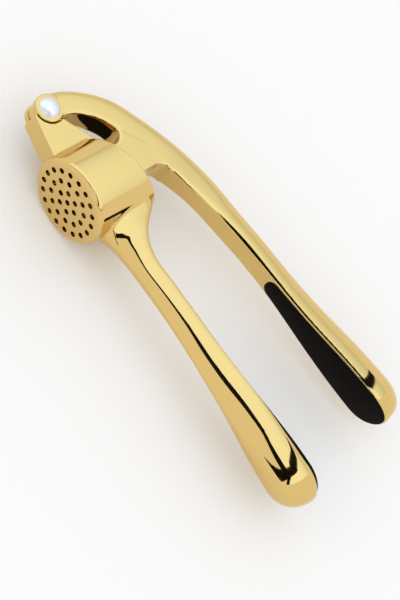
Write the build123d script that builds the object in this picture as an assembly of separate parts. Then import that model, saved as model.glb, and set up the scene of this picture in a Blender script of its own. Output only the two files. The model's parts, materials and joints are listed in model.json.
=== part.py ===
"""Hand garlic press: two castings on a rivet, the lower one with a perforated barrel, a plunger and two grips.

The press lies on its side. X runs from the hinge to the handle tips, Y from the perforated plate to the open mouth
of the barrel, and Z along the hinge axis. The pieces are modelled from the middle of the plate's outer face, and
the finished set is moved so that its box stands on the XY plane, centred on the origin. All lengths are in
millimetres and all angles in degrees.
"""

from build123d import *
from math import asin, atan2, copysign, cos, degrees, radians, sin, tan
import os

# Barrel: a cup along Y whose floor is the perforated plate and whose mouth slopes up towards the handles
barrel_radius = 17.9
bore_radius = 15.9
bore_draft = 1.5
plate_thickness = 2.0
plate_edge_round = 2.0
mouth_height = 24.3
mouth_slope = 15.6

# Perforations: a hole in the middle and whole rings of six, twelve and eighteen round it
hole_diameter = 2.4
hole_pitch = 4.5
hole_rings = 3

# Hinge: its axis, the eye of the lower casting and the two cheeks of the upper casting on either side of it
hinge_offset = 34.3
hinge_height = 13.4
knuckle_radius = 6.0
knuckle_gap = 0.6
hinge_half_width = 5.6
hinge_edge_round = 0.8
eye_half_width = 2.5
eye_clearance = 0.1

# Lug: the arm of the lower casting between the barrel and the eye
lug_half_width = 5.3
lug_sink = 1.0
lug_foot_height = 2.7
lug_top_height = 23.6
lug_heel_drop = 7.4
lug_lip_angle = -92
lug_nose_radius = 7.7
lug_nose_angle = 24

# Hinge rivet: a headed shank, and a cap whose stem is pressed into the end of the shank
rivet_radius = 2.4
rivet_head_radius = 4.3
rivet_head_height = 1.9
rivet_clearance = 0.05
cap_stem_radius = 1.4
cap_stem_length = 4.0

# Both handles: the waist, the bulb at the tip, and how far below the inner face a section is widest
waist_half_width = 4.9
bulb_half_width = 9.7
bulb_depth = 15.0
bulb_length = 12.5
rim_share = 0.15

# Lower handle, its heights counted from the plate
lower_reach = 144.7
waist_reach = 37.0
waist_face_height = 17.3
lower_waist_depth = 9.7
lower_face_height = 21.3
lower_depth_start = 45.0
lower_flare_start = 74.0

# Neck of the lower handle, from inside the barrel's wall to the waist. Each row has the distance out from the
# wall, the height of the inner face, the height of the back, the half width and the fullness.
neck_rows = (
    (-6.0, 28.0, 2.6, 11.1, 3.0),
    (0.0, 26.2, 3.8, 9.0, 2.6),
    (3.6, 23.3, 5.8, 7.3, 2.3),
    (9.0, 19.4, 6.4, 6.1, 2.1),
    (14.1, 17.9, 7.4, 5.3, 2.1),
)

# Arch of the upper handle in its part-open position, from the hinge to over the mouth. Each row has a point of the
# inner face, counted from the hinge axis, and the depth there.
arch_half_width = 6.3
arch_rows = (
    (5.1, 1.6, 10.9),
    (5.5, 5.8, 10.4),
    (8.1, 11.2, 10.2),
    (13.8, 16.9, 11.3),
    (21.3, 21.2, 11.8),
    (30.3, 25.4, 12.2),
    (41.3, 30.4, 11.9),
)

# Upper handle in its part-open position: points of its inner face, their heights counted from the middle of the
# mouth. They are drawn for a bulb that starts at upper_face_span, and spread out with a longer handle.
upper_reach = 137.3
upper_waist_depth = 10.7
upper_flare_start = 61.0
upper_face_rise = 40.2
upper_face_span = 124.8
upper_face = ((20.0, 24.6), (34.0, 28.1), (50.0, 31.1), (70.0, 33.8), (90.0, 35.8), (108.0, 38.0))

# Boss: the part of the upper casting that reaches into the barrel and carries the plunger, its heights counted
# from the middle of the mouth
boss_back = -10.3
boss_back_low = 3.0
boss_back_high = 4.9
boss_back_fillet = 4.5
boss_front = 4.4
boss_front_high = 15.2
boss_front_fillet = 5.0
boss_root = 8.0
fork_radius = 3.6

# Plunger: a disc with a tongue that turns on a pin through the fork of the boss
close_angle = 12.0
plunger_lag = 0.25
plunger_radius = 15.0
plunger_thickness = 3.0
plunger_rim_round = 0.8
plunger_gap = 0.3
tongue_half_width = 2.5
tongue_clearance = 0.1
tongue_eye_radius = 3.1
tongue_head_gap = 0.6
tongue_foot = 6.0
tongue_sink = 0.5
pin_radius = 1.5
pin_clearance = 0.05
pin_recess = 0.3

# Grips: soft pads let into the inner faces of both handles
grip_lip = 1.0
grip_depth = 2.2
grip_proud = 0.4
grip_side_gap = 0.05
grip_run_in = 8.0
lower_grip_start = 78.0
upper_grip_start = 65.5

# How far a cutting tool reaches past what it cuts
cut_reach = 5.0

# How finely the handles are drawn, with the lower handle's stations drawn together towards its waist
section_steps = 8
handle_steps = 8
station_grading = 1.3
grip_steps = 8
tip_angles = (0, 15, 30, 45, 60, 75)

BULB_FULLNESS = 2.1
ARCH_FULLNESS = 4.5
LOWER_FACE_BOW = 1.6
LOWER_TIP_BLUNTNESS = 0.85
UPPER_TIP_BLUNTNESS = 0.55


def blend(start, end, share):
    """Ease from start to end, level at both, as share goes from 0 to 1."""
    share = min(max(share, 0.0), 1.0)
    return start + (end - start) * share * share * (3 - 2 * share)


def from_hinge(radius, angle):
    """The point at a radius and an angle round the hinge axis."""
    return (-hinge_offset + radius * cos(radians(angle)), hinge_height + radius * sin(radians(angle)))


def slab(face, low, high):
    """A flat face in the XY plane, thickened from one Z to another."""
    return extrude(Location((0, 0, low)) * face, amount=high - low)


def disc(center, radius, low, high):
    """A round post along Z between two heights."""
    return slab(Location((center[0], center[1], 0)) * Circle(radius), low, high)


# ---------------------------------------------------------------- handles


def section(place, outward_angle, half_width, depth, fullness):
    """A D-shaped face across a handle, flat on its inner side and bowed on its back.

    fullness is the exponent of the back's curve: 2 is an ellipse and more is squarer.
    """
    outward = Vector(cos(radians(outward_angle)), sin(radians(outward_angle)), 0)
    across = Vector(0, 0, 1)
    plane = Plane(origin=(place[0], place[1], 0), x_dir=across, z_dir=across.cross(outward))
    start = -degrees(asin((rim_share / (1 - rim_share)) ** (fullness / 2)))
    points = []
    for i in range(2 * section_steps + 1):
        angle = radians(start + (90 - start) * i / section_steps)
        reach = copysign(abs(cos(angle)) ** (2 / fullness), cos(angle))
        bow = copysign(abs(sin(angle)) ** (2 / fullness), sin(angle))
        points.append((half_width * reach, depth * (rim_share + (1 - rim_share) * bow)))
    even = [i / (len(points) - 1) for i in range(len(points))]
    back = Edge.make_spline([Vector(*point) for point in points], parameters=even)
    return plane * make_face([back, Line(points[-1], points[0])])


def tip(place, outward_angle, bluntness):
    """The rounded end of a handle, its sections shrinking to a point just below the inner face.

    bluntness is 1 where a section's depth shrinks with its width, and less where the depth holds out longer.
    """
    outward = Vector(cos(radians(outward_angle)), sin(radians(outward_angle)))
    along = Vector(abs(outward.Y), -outward.X if outward.Y > 0 else outward.X)
    sections = []
    for angle in tip_angles:
        shrink = cos(radians(angle))
        point = Vector(*place) + along * (bulb_length * sin(radians(angle))) + outward * tip_drop(shrink)
        depth = bulb_depth * shrink**bluntness
        sections.append(section((point.X, point.Y), outward_angle, bulb_half_width * shrink, depth, BULB_FULLNESS))
    end = Vector(*place) + along * bulb_length + outward * tip_drop(0)
    return loft(sections + [Vertex(end.X, end.Y, 0)])


def tip_drop(shrink):
    """How far the inner face has fallen away where a tip's section has shrunk to a share of the bulb's."""
    return rim_share * bulb_depth * (1 - shrink)


def handle_half_width(x, start, end):
    """Half the width of a handle's inner face between its waist and its bulb."""
    return blend(waist_half_width, bulb_half_width, (x - start) / (end - start))


def lower_face(x):
    """Height of the lower handle's inner face, from its waist to its bulb."""
    share = (x - waist_reach) / (lower_reach - bulb_length - waist_reach)
    return lower_face_height - (lower_face_height - waist_face_height) * (1 - share) ** LOWER_FACE_BOW


def lower_handle_body():
    """The neck that grows out of the barrel and the handle behind it."""
    bulb = lower_reach - bulb_length
    sections = []
    for run, face, back, width, fullness in neck_rows:
        sections.append(section((barrel_radius + run, face), -90, width, face - back, fullness))
    for i in range(handle_steps + 1):
        x = waist_reach + (bulb - waist_reach) * (i / handle_steps) ** station_grading
        width = handle_half_width(x, lower_flare_start, bulb)
        depth = blend(lower_waist_depth, bulb_depth, (x - lower_depth_start) / (bulb - lower_depth_start))
        sections.append(section((x, lower_face(x)), -90, width, depth, BULB_FULLNESS))
    return loft(sections) + tip((bulb, lower_face(bulb)), -90, LOWER_TIP_BLUNTNESS)


def upper_stretch():
    """How many times as long the upper handle is as the one that its inner face was drawn for."""
    return (upper_reach - bulb_length) / upper_face_span


def upper_face_points():
    """Points along the upper handle's inner face, from the top of the arch to the start of the bulb."""
    points = [(x * upper_stretch(), mouth_height + rise) for x, rise in upper_face]
    return points + [(upper_reach - bulb_length, mouth_height + upper_face_rise)]


def upper_tip_slope():
    """Rise over run of the upper handle's inner face where its bulb starts."""
    before, last = upper_face_points()[-2:]
    return (last[1] - before[1]) / (last[0] - before[0])


def upper_handle_body():
    """The arch over the barrel and the handle behind it."""
    bulb = upper_reach - bulb_length
    rows = []
    for run, rise, depth in arch_rows:
        width = blend(hinge_half_width, arch_half_width, rise / arch_rows[-1][1])
        rows.append(((run - hinge_offset, hinge_height + rise), width, depth, ARCH_FULLNESS))
    arch_end, extra = rows[-1][0][0], arch_rows[-1][2] - upper_waist_depth
    for point in upper_face_points():
        width = handle_half_width(point[0], upper_flare_start, bulb)
        depth = blend(upper_waist_depth, bulb_depth, (point[0] - upper_flare_start) / (bulb - upper_flare_start))
        depth += blend(extra, 0, (point[0] - arch_end) / (upper_flare_start - arch_end))
        fullness = blend(ARCH_FULLNESS, BULB_FULLNESS, (point[0] - arch_end) / (waist_reach - arch_end))
        rows.append((point, width, depth, fullness))
    spine = Spline(*[row[0] for row in rows])
    sections = []
    for point, width, depth, fullness in rows:
        tangent = spine.tangent_at(spine.param_at_point(point))
        outward_angle = degrees(atan2(tangent.Y, tangent.X)) + 90
        sections.append(section(point, outward_angle, width, depth, fullness))
    return loft(sections) + tip(rows[-1][0], outward_angle, UPPER_TIP_BLUNTNESS)


# ---------------------------------------------------------------- grips


def grip_outline(start, bulb, flare_start, margin):
    """The outline of a pad in the XZ plane: round at the hinge end, widening to the round of the bulb."""
    lead = start + handle_half_width(start, flare_start, bulb) - margin
    xs = [lead + (bulb - lead) * i / grip_steps for i in range(grip_steps + 1)]
    side = [(x, handle_half_width(x, flare_start, bulb) - margin) for x in xs]
    other = [(x, -z) for x, z in side]
    tail = EllipticalCenterArc((bulb, 0), bulb_length - margin, side[-1][1], start_angle=-90, arc_size=180)
    nose = ThreePointArc(side[0], (lead - side[0][1], 0), other[0])
    return make_face([Spline(*side), tail, Spline(*other), nose])


def grip_band(points, low, high):
    """The layer that lies between two depths under a handle's inner face, as wide as the bulb."""
    spine = Spline(*points)
    edges = []
    for depth in (low, high):
        line = []
        for i in range(grip_steps + 1):
            place = spine.position_at(i / grip_steps)
            tangent = spine.tangent_at(i / grip_steps)
            line.append((place.X - tangent.Y * depth, place.Y + tangent.X * depth))
        edges.append(line)
    face = make_face(
        [Spline(*edges[0]), Line(edges[0][-1], edges[1][-1]), Spline(*edges[1]), Line(edges[1][0], edges[0][0])]
    )
    return slab(face, -bulb_half_width, bulb_half_width)


def pad(points, start, bulb, flare_start, margin, low, high):
    """A solid under a pad's outline, between two depths of a handle's face."""
    outline = Plane.XZ * grip_outline(start, bulb, flare_start, margin)
    prism = extrude(outline, amount=-2 * upper_reach)
    return prism & grip_band(points, low, high)


def upper_pad(margin, low, high):
    """The upper handle's pad, or the recess that holds it."""
    bulb = upper_reach - bulb_length
    lead = (upper_grip_start - 2 * grip_run_in) * upper_stretch()
    points = [point for point in upper_face_points() if point[0] > lead]
    end, rise = points[-1][1], upper_tip_slope()
    for angle in tip_angles[2:]:
        run = bulb_length * sin(radians(angle))
        points.append((bulb + run, end + rise * run + tip_drop(cos(radians(angle)))))
    return pad(points, upper_grip_start, bulb, upper_flare_start, margin, low, high)


def lower_pad(margin, low, high):
    """The lower handle's pad, or the recess that holds it."""
    bulb = lower_reach - bulb_length
    lead = lower_grip_start - grip_run_in
    points = [(x, lower_face(x)) for x in (lead, (2 * lead + bulb) / 3, (lead + 2 * bulb) / 3, bulb)]
    for angle in tip_angles[2:]:
        points.append((bulb + bulb_length * sin(radians(angle)), lower_face(bulb) - tip_drop(cos(radians(angle)))))
    return pad(points, lower_grip_start, bulb, lower_flare_start, margin, low, high)


# ---------------------------------------------------------------- lower casting


def bore():
    """The inside of the barrel, a cone that opens slightly towards the mouth."""
    height = 2 * mouth_height
    wide = bore_radius + height * tan(radians(bore_draft))
    profile = make_face(
        Polyline(
            (0, plate_thickness),
            (bore_radius, plate_thickness),
            (wide, plate_thickness + height),
            (0, plate_thickness + height),
            close=True,
        )
    )
    return revolve(profile, Axis.Y)


def barrel():
    """The outside of the barrel, with its slanted mouth."""
    height = 2 * mouth_height
    blank = extrude(Plane.XZ * Circle(barrel_radius), amount=-height)
    front = blank.edges().sort_by(Axis.Y)[0]
    blank = fillet(front, plate_edge_round)
    mouth = Plane(origin=(0, mouth_height, 0), z_dir=(-sin(radians(mouth_slope)), cos(radians(mouth_slope)), 0))
    return split(blank, bisect_by=mouth, keep=Keep.BOTTOM)


def above_mouth():
    """Everything above the slanted mouth of the barrel."""
    side = 3 * barrel_radius
    return Location((0, mouth_height, 0), (0, 0, mouth_slope)) * Box(
        side, side, side, align=(Align.CENTER, Align.MIN, Align.CENTER)
    )


def perforations():
    """The holes through the plate."""
    places = [(0, 0)]
    for ring in range(1, hole_rings + 1):
        for i in range(6 * ring):
            angle = radians(60 * i / ring)
            places.append((ring * hole_pitch * cos(angle), ring * hole_pitch * sin(angle)))
    holes = Sketch() + [Location((x, z)) * Circle(hole_diameter / 2) for x, z in places]
    return extrude(Plane.XZ.offset(cut_reach) * holes, amount=-2 * cut_reach - plate_thickness)


def lug():
    """The arm between the barrel and the eye, cut back round the cheeks, with the eye on its thin web."""
    foot = (-bore_radius + lug_sink, lug_foot_height)
    heel = (-hinge_offset, hinge_height - lug_heel_drop)
    lip = from_hinge(knuckle_radius + knuckle_gap, lug_lip_angle)
    nose = from_hinge(lug_nose_radius, lug_nose_angle)
    top = (-bore_radius + lug_sink, lug_top_height)
    hub = from_hinge(0, 0)
    outline = make_face(Polyline(foot, heel, lip, hub, nose, top, close=True))
    arm = slab(outline, -lug_half_width, lug_half_width)
    arm -= disc(hub, knuckle_radius + knuckle_gap, -lug_half_width, lug_half_width)
    web = slab(outline, -eye_half_width, eye_half_width)
    eye = disc(hub, knuckle_radius - knuckle_gap, -eye_half_width, eye_half_width)
    return arm + web + eye


def lower_handle():
    """The lower casting: barrel, plate, lug, eye and handle in one piece."""
    casting = barrel() + lug() + (lower_handle_body() - above_mouth())
    casting -= bore()
    casting -= perforations()
    casting -= disc(from_hinge(0, 0), rivet_radius + rivet_clearance, -lug_half_width, lug_half_width)
    return casting - lower_pad(grip_lip - grip_side_gap, -grip_depth, cut_reach)


# ---------------------------------------------------------------- upper casting


def pin_arm():
    """Distance from the hinge axis to the plunger's pin, which swings evenly about the level of the hinge."""
    return hinge_offset / cos(radians(close_angle / 2))


def pin_place():
    """The plunger's pin in the part-open position."""
    return from_hinge(pin_arm(), close_angle / 2)


def hollow(low, radius, side):
    """A quarter round that runs up and away from a point, to the left for side -1 and to the right for side 1."""
    x, y = low
    bend = (x + side * radius * (1 - cos(radians(45))), y + radius * sin(radians(45)))
    return ThreePointArc(low, bend, (x + side * radius, y + radius))


def boss():
    """The part of the upper casting that comes down into the barrel, rounded about the plunger's pin."""
    x, y = pin_place()
    knee = (boss_back, mouth_height + boss_back_low)
    back = (boss_back, mouth_height + boss_back_high)
    front = (boss_front, mouth_height + boss_front_high)
    heel = (x - fork_radius, y)
    toe = (x + fork_radius, y)
    behind = hollow(back, boss_back_fillet, -1)
    ahead = hollow(front, boss_front_fillet, 1)
    outline = [
        behind,
        Polyline(back, knee, heel),
        ThreePointArc(heel, (x, y - fork_radius), toe),
        Line(toe, front),
        ahead,
        Polyline(ahead @ 1, (boss_front, front[1] + boss_root), (boss_back, back[1] + boss_root), behind @ 1),
    ]
    return slab(make_face([edge for line in outline for edge in line.edges()]), -arch_half_width, arch_half_width)


def upper_handle():
    """The upper casting: cheeks, arch, boss and handle in one piece."""
    hub = from_hinge(0, 0)
    x, y = pin_place()
    eye_gap = eye_half_width + eye_clearance
    tongue_gap = tongue_half_width + tongue_clearance
    casting = upper_handle_body() + boss()
    knuckle = disc(hub, knuckle_radius, -hinge_half_width, hinge_half_width)
    casting += fillet(knuckle.edges().filter_by(GeomType.CIRCLE), hinge_edge_round)
    casting -= disc(hub, knuckle_radius + knuckle_gap, -eye_gap, eye_gap)
    casting -= disc(hub, rivet_radius, -hinge_half_width, hinge_half_width)
    slot_top = y + tongue_eye_radius + tongue_head_gap
    casting -= Location((x, slot_top, 0)) * Box(
        2 * barrel_radius, mouth_height, 2 * tongue_gap, align=(Align.CENTER, Align.MAX, Align.CENTER)
    )
    casting -= disc((x, y), pin_radius, -arch_half_width, arch_half_width)
    return casting - upper_pad(grip_lip - grip_side_gap, -cut_reach, grip_depth)


# ---------------------------------------------------------------- rivet, plunger and grips


def dome(radius, height):
    """A low dome standing on the XY plane."""
    ball = (radius * radius + height * height) / (2 * height)
    rim, top = (radius, 0), (0, height)
    profile = make_face([Line((0, 0), rim), RadiusArc(rim, top, -ball), Line(top, (0, 0))])
    return revolve(Plane.XZ * profile, Axis.Z)


def hinge_rivet():
    """The rivet's head and its shank, hollow at the far end."""
    hub = Location((-hinge_offset, hinge_height, 0))
    rivet = Location((0, 0, hinge_half_width)) * dome(rivet_head_radius, rivet_head_height)
    rivet += disc((0, 0), rivet_radius, -hinge_half_width, hinge_half_width)
    rivet -= disc((0, 0), cap_stem_radius, -hinge_half_width, -hinge_half_width + cap_stem_length)
    return hub * rivet


def hinge_rivet_cap():
    """The far head of the rivet, with the stem that is pressed into the shank."""
    hub = Location((-hinge_offset, hinge_height, 0))
    cap = Location((0, 0, -hinge_half_width), (180, 0, 0)) * dome(rivet_head_radius, rivet_head_height)
    cap += disc((0, 0), cap_stem_radius, -hinge_half_width, -hinge_half_width + cap_stem_length)
    return hub * cap


def plunger():
    """The pressing disc and its tongue, tilted as the pin's swing leaves it in the part-open position."""
    foot = from_hinge(pin_arm(), -close_angle / 2)[1] - plate_thickness - plunger_gap
    plate = extrude(Plane.XZ.offset(foot) * Circle(plunger_radius), amount=-plunger_thickness)
    plate = fillet(plate.edges(), plunger_rim_round)
    foot_height = plunger_thickness - foot - tongue_sink
    outline = make_face(
        Polyline(
            (-tongue_foot, foot_height),
            (tongue_foot, foot_height),
            (tongue_eye_radius, 0),
            (-tongue_eye_radius, 0),
            close=True,
        )
    )
    tongue = slab(outline + Circle(tongue_eye_radius), -tongue_half_width, tongue_half_width)
    solid = plate + tongue
    solid -= disc((0, 0), pin_radius + pin_clearance, -tongue_half_width, tongue_half_width)
    x, y = pin_place()
    return Location((x, y, 0), (0, 0, close_angle * (1 - plunger_lag))) * solid


def plunger_pin():
    """The pin through the boss and the tongue, its ends just under the boss's sides."""
    end = arch_half_width - pin_recess
    return disc(pin_place(), pin_radius, -end, end)


def main():
    """Model every piece, stand the set on the XY plane and write one file for each."""
    pieces = {
        "lower_handle": lower_handle(),
        "upper_handle": upper_handle(),
        "hinge_rivet": hinge_rivet(),
        "hinge_rivet_cap": hinge_rivet_cap(),
        "plunger": plunger(),
        "plunger_pin": plunger_pin(),
        "upper_grip": upper_pad(grip_lip, -grip_proud, grip_depth),
        "lower_grip": lower_pad(grip_lip, -grip_depth, grip_proud),
    }
    box = Compound(list(pieces.values())).bounding_box()
    stand = Location((-(box.min.X + box.max.X) / 2, -(box.min.Y + box.max.Y) / 2, -box.min.Z))
    os.makedirs("parts", exist_ok=True)
    for name, piece in pieces.items():
        placed = stand * piece
        placed.label = name
        export_step(placed, f"parts/{name}.step")
    print("box", box.size, "origin moved by", stand.position)


if __name__ == "__main__":
    main()
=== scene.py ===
"""Garlic press: two polished plated castings on a rivet, a plunger in the barrel and pads on the handles.

Everything is drawn in millimetres from the middle of the perforated plate's outer face, with X towards the
handle tips, Y towards the mouth of the barrel and Z along the hinge axis. It is then moved to its place in
the frame.
"""

import json
from math import asin, atan2, cos, degrees, pi, radians, sin, tan
from types import SimpleNamespace

import bmesh
import bpy
import numpy as np
from mathutils import Matrix, Vector


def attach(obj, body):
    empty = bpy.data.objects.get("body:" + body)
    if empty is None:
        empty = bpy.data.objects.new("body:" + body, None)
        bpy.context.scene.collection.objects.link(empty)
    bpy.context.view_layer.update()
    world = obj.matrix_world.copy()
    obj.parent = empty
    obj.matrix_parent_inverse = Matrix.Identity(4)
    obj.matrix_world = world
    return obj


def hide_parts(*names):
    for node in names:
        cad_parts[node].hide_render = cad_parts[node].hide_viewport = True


bl_info = {
    "name": "Garlic press",
    "version": (1, 0, 0),
    "blender": (4, 5, 0),
    "location": "View3D > Sidebar > Garlic press",
    "description": "Builds a polished garlic press round its CAD frame, with a stage and a camera",
    "category": "Object",
}

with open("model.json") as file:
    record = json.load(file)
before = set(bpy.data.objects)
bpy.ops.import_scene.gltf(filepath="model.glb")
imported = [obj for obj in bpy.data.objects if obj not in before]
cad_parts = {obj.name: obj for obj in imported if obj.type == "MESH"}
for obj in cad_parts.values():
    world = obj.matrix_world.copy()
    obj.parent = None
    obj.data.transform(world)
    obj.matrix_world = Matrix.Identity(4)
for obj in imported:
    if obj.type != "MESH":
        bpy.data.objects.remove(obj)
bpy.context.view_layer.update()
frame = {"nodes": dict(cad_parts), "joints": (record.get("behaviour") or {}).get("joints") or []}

MM = 0.001
HINGE = (-34.3, 13.4)
ORIGIN = Vector(frame["joints"][0]["pos_m"]) - Vector((HINGE[0], HINGE[1], 0)) * MM

# How full the sections of the castings are: the exponent of a superellipse, 2 for an ellipse and more for a
# squarer one
ARCH_FULLNESS = 4.5
UPPER_FULLNESS = 2.1
# How bowed the lower handle's inner face is along its length, and how blunt the tips are: less is blunter
LOWER_FACE_BOW = 1.6
LOWER_TIP_BLUNTNESS = 0.85
UPPER_TIP_BLUNTNESS = 0.55

# Neck of the lower handle: distance out from the barrel's wall, height of the inner face and of the back,
# half width and fullness
NECK_ROWS = (
    (-6.0, 28.0, 2.6, 11.1, 3.0),
    (0.0, 26.2, 4.4, 9.0, 2.6),
    (3.6, 23.3, 5.4, 7.4, 2.3),
    (9.0, 19.4, 6.5, 6.1, 2.1),
    (14.1, 17.9, 7.2, 5.3, 2.1),
)

# Arch of the upper handle: a point of its inner face counted from the hinge, and its depth there
ARCH_ROWS = (
    (5.1, 1.6, 10.9),
    (5.5, 5.8, 10.4),
    (8.1, 11.2, 10.2),
    (13.8, 16.9, 11.3),
    (21.3, 21.2, 11.8),
    (30.3, 25.4, 12.2),
    (41.3, 30.4, 11.9),
)

# Inner face of the upper handle, its heights counted from the middle of the barrel's mouth
UPPER_FACE = ((20.0, 24.6), (34.0, 28.1), (50.0, 31.1), (70.0, 33.8), (90.0, 35.8), (108.0, 38.0))

# Rim of a handle, between its inner face and its back: how far it turns over, and how far behind the inner
# face the section is widest at the waist, at the bulb and on the arch, with the stretch over which it changes
RIM_ROUND = 1.5
WAIST_RIM = 3.0
BULB_RIM = 2.0
ARCH_RIM = 1.8
RIM_CHANGE = (50.0, 75.0)

# Places along the lower handle, and how full it is there and the share of its depth before its widest point
LOWER_SECTIONS = (
    (30, 55, 80, 100, 112, 122, 134),
    ((2.1, 0.15), (1.95, 0.12), (1.75, 0.07), (1.75, 0.08), (2.0, 0.16), (2.25, 0.26), (2.3, 0.28)),
)
NECK_RIM_SHARE = 0.15

# Lower handle: where its free length starts, heights of its inner face there and at the bulb, depth of its
# waist and where it starts to deepen and to widen
WAIST_REACH = 37.0
LOWER_FACE = (17.3, 21.3)
LOWER_WAIST_DEPTH = 9.7
LOWER_DEPTH_START = 45.0
LOWER_FLARE_START = 74.0

# Upper handle: height of its inner face at the bulb over the middle of the mouth, depth of its waist, where
# it starts to deepen and widen, half width of the arch, and by how much its waist is wider than the lower
# one's, with the stretch over which that fades
UPPER_FACE_RISE = 40.2
UPPER_WAIST_DEPTH = 10.7
UPPER_FLARE_START = 61.0
ARCH_HALF_WIDTH = 6.3
WAIST_EXTRA = 0.6
WAIST_EXTRA_FADE = (60.0, 90.0)

# How far a tip's end drops towards the back, as a share of the handle's depth
TIP_DROP = 0.15

# Pads: where each starts, the room round it and the round of its edge
UPPER_PAD_START = 65.5
LOWER_PAD_START = 78.0
PAD_CLEARANCE = 0.02
PAD_ROUND = 0.35

# Lug: heights of its underside and top at the barrel, how far its heel is under the hinge and its nose is
# from it, and the angles round the hinge between which the cheeks run in it
LUG_FOOT = 2.7
LUG_TOP = 23.6
LUG_HEEL = 7.4
LUG_NOSE = 7.7
NOTCH_SWEEP = (-92, 24)

# Boss: its back and front, height of its back corner over the mouth, each hollow under the arch as its height
# over the mouth and its radius, the round of the fork, and how far the boss runs up into the arch
BOSS_BACK = -10.3
BOSS_FRONT = 4.4
BOSS_CORNER = 3.0
BACK_HOLLOW = (4.9, 4.5)
FRONT_HOLLOW = (15.2, 5.0)
FORK_RADIUS = 3.6
BOSS_RUN_IN = 8.0

# Pin of the plunger: its angle from the hinge, and the height of the fork's slot over it
PIN_ANGLE = 6.0
SLOT_OVER_PIN = 3.7

# Places where a casting's skin is rounded off: the boxes round the roots of the lug and of the neck, how far
# from the barrel's wall they reach, the stretch of the neck and the run over which it fades, and the roots of
# the boss as place along the press, height over the mouth and reach
LUG_ROOT = ((-30.0, 3.5, -9.0), (-10.0, 17.5, 9.0))
NECK_ROOT = ((8.0, 3.0, -13.0), (30.0, 26.0, 13.0))
ROOT_REACH = 1.6
NECK_STRETCH = (19.0, 38.0)
NECK_FADE = 8.0
BOSS_ROOTS = ((-14.8, 9.4, 5.0), (8.0, 20.0, 6.0))

# Rounds of polishing for the whole skin and for each root, and the shares by which each kind of round draws
# points
SKIN_ROUNDS = 24
LUG_ROUNDS = 14
NECK_ROUNDS = 40
BOSS_ROUNDS = 30
EVEN_OUT = (0.5, -0.53)
ROUND_OFF = (0.5,)

# Angle over which an edge stays sharp, and how far a cutter reaches past what it cuts
SHARP_ANGLE = 40
CUTTER_SPARE = 3.0

PLATED_ZINC = "gold_tone_plated_zinc_polished"
PLATED_STEEL = "nickel_plated_steel_polished"
SOFT_RUBBER = "thermoplastic_rubber_moulded"


def length(name, text, size):
    """A length that a user may change, given in millimetres and kept in metres."""
    return bpy.props.FloatProperty(name=name, description=text, default=size * MM, unit="LENGTH", precision=5)


def slope(name, text, angle):
    """An angle that a user may change, given in degrees."""
    return bpy.props.FloatProperty(name=name, description=text, default=radians(angle), subtype="ANGLE")


def colour(name, text, code):
    """A colour that a user may change, as an sRGB hex value."""
    return bpy.props.StringProperty(name=name, description=text, default=code)


class PressSizes(bpy.types.PropertyGroup):
    """Sizes of the press."""

    barrel_radius: length("Barrel radius", "Outside radius of the barrel", 17.9)
    bore_radius: length("Bore radius", "Radius of the bore at the plate", 15.9)
    bore_draft: slope("Bore draft", "Slope of the bore's wall", 1.5)
    plate_thickness: length("Plate thickness", "Thickness of the perforated plate", 2.0)
    plate_edge: length("Plate edge", "Round where the plate meets the wall", 2.0)
    mouth_height: length("Mouth height", "Height of the middle of the mouth over the plate", 24.3)
    mouth_slope: slope("Mouth slope", "Slope of the barrel's mouth", 15.6)
    hole_diameter: length("Hole diameter", "Diameter of the holes in the plate", 2.4)
    hole_pitch: length("Hole pitch", "Distance between two rings of holes", 4.5)
    hole_rings: bpy.props.IntProperty(name="Hole rings", description="Rings round the middle hole", default=3)
    knuckle_radius: length("Knuckle radius", "Radius of the cheeks round the rivet", 6.0)
    knuckle_gap: length("Knuckle gap", "Gap round the cheeks", 0.6)
    hinge_half_width: length("Hinge half width", "Half the distance over the cheeks", 5.6)
    eye_half_width: length("Eye half width", "Half the thickness of the eye between the cheeks", 2.5)
    cheek_clearance: length("Cheek clearance", "Gap between the eye and each cheek", 0.1)
    lug_half_width: length("Lug half width", "Half the thickness of the lug", 5.3)
    waist_half_width: length("Waist half width", "Half the width of a handle at its waist", 4.9)
    bulb_half_width: length("Bulb half width", "Half the width of a handle at its bulb", 9.7)
    bulb_depth: length("Bulb depth", "Depth of a handle at its bulb", 15.0)
    bulb_length: length("Bulb length", "Length of the round end of a handle", 12.5)
    lower_reach: length("Lower reach", "From the middle of the plate to the lower handle's tip", 144.7)
    upper_reach: length("Upper reach", "From the middle of the plate to the upper handle's tip", 137.3)
    grip_lip: length("Grip lip", "Metal left round a pad", 1.0)
    grip_proud: length("Grip height", "How far a pad stands out of its handle", 0.4)
    grip_depth: length("Grip depth", "How deep a pad is let into its handle", 2.2)
    grid: length("Blend grid", "Grid at which the parts of a casting are blended", 0.3)


class PressColours(bpy.types.PropertyGroup):
    """Colours of the press and its stage."""

    plating: colour("Plating", "Colour of the plating", "DEBE78")
    rivet: colour("Rivet", "Colour of the rivet and the pin", "E4E3EA")
    pad: colour("Pads", "Colour of the soft pads", "0D0B08")
    floor: colour("Floor", "Colour of the floor", "FCFCFC")


# ---------------------------------------------------------------- small tools


def linear(code):
    """An sRGB hex colour as linear RGBA."""
    channels = [int(code[i : i + 2], 16) / 255 for i in (0, 2, 4)]
    return [c / 12.92 if c <= 0.04045 else ((c + 0.055) / 1.055) ** 2.4 for c in channels] + [1.0]


def add(tree, kind, settings=None, inputs=None):
    """A node with its settings, and its inputs given as values or as outputs to link."""
    node = tree.nodes.new(kind)
    for key, value in (settings or {}).items():
        setattr(node, key, value)
    for key, value in (inputs or {}).items():
        if isinstance(value, bpy.types.NodeSocket):
            tree.links.new(value, node.inputs[key])
        else:
            node.inputs[key].default_value = value
    return node


def blend(start, end, share):
    """Ease from start to end, level at both."""
    share = min(max(share, 0.0), 1.0)
    return start + (end - start) * share * share * (3 - 2 * share)


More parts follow.
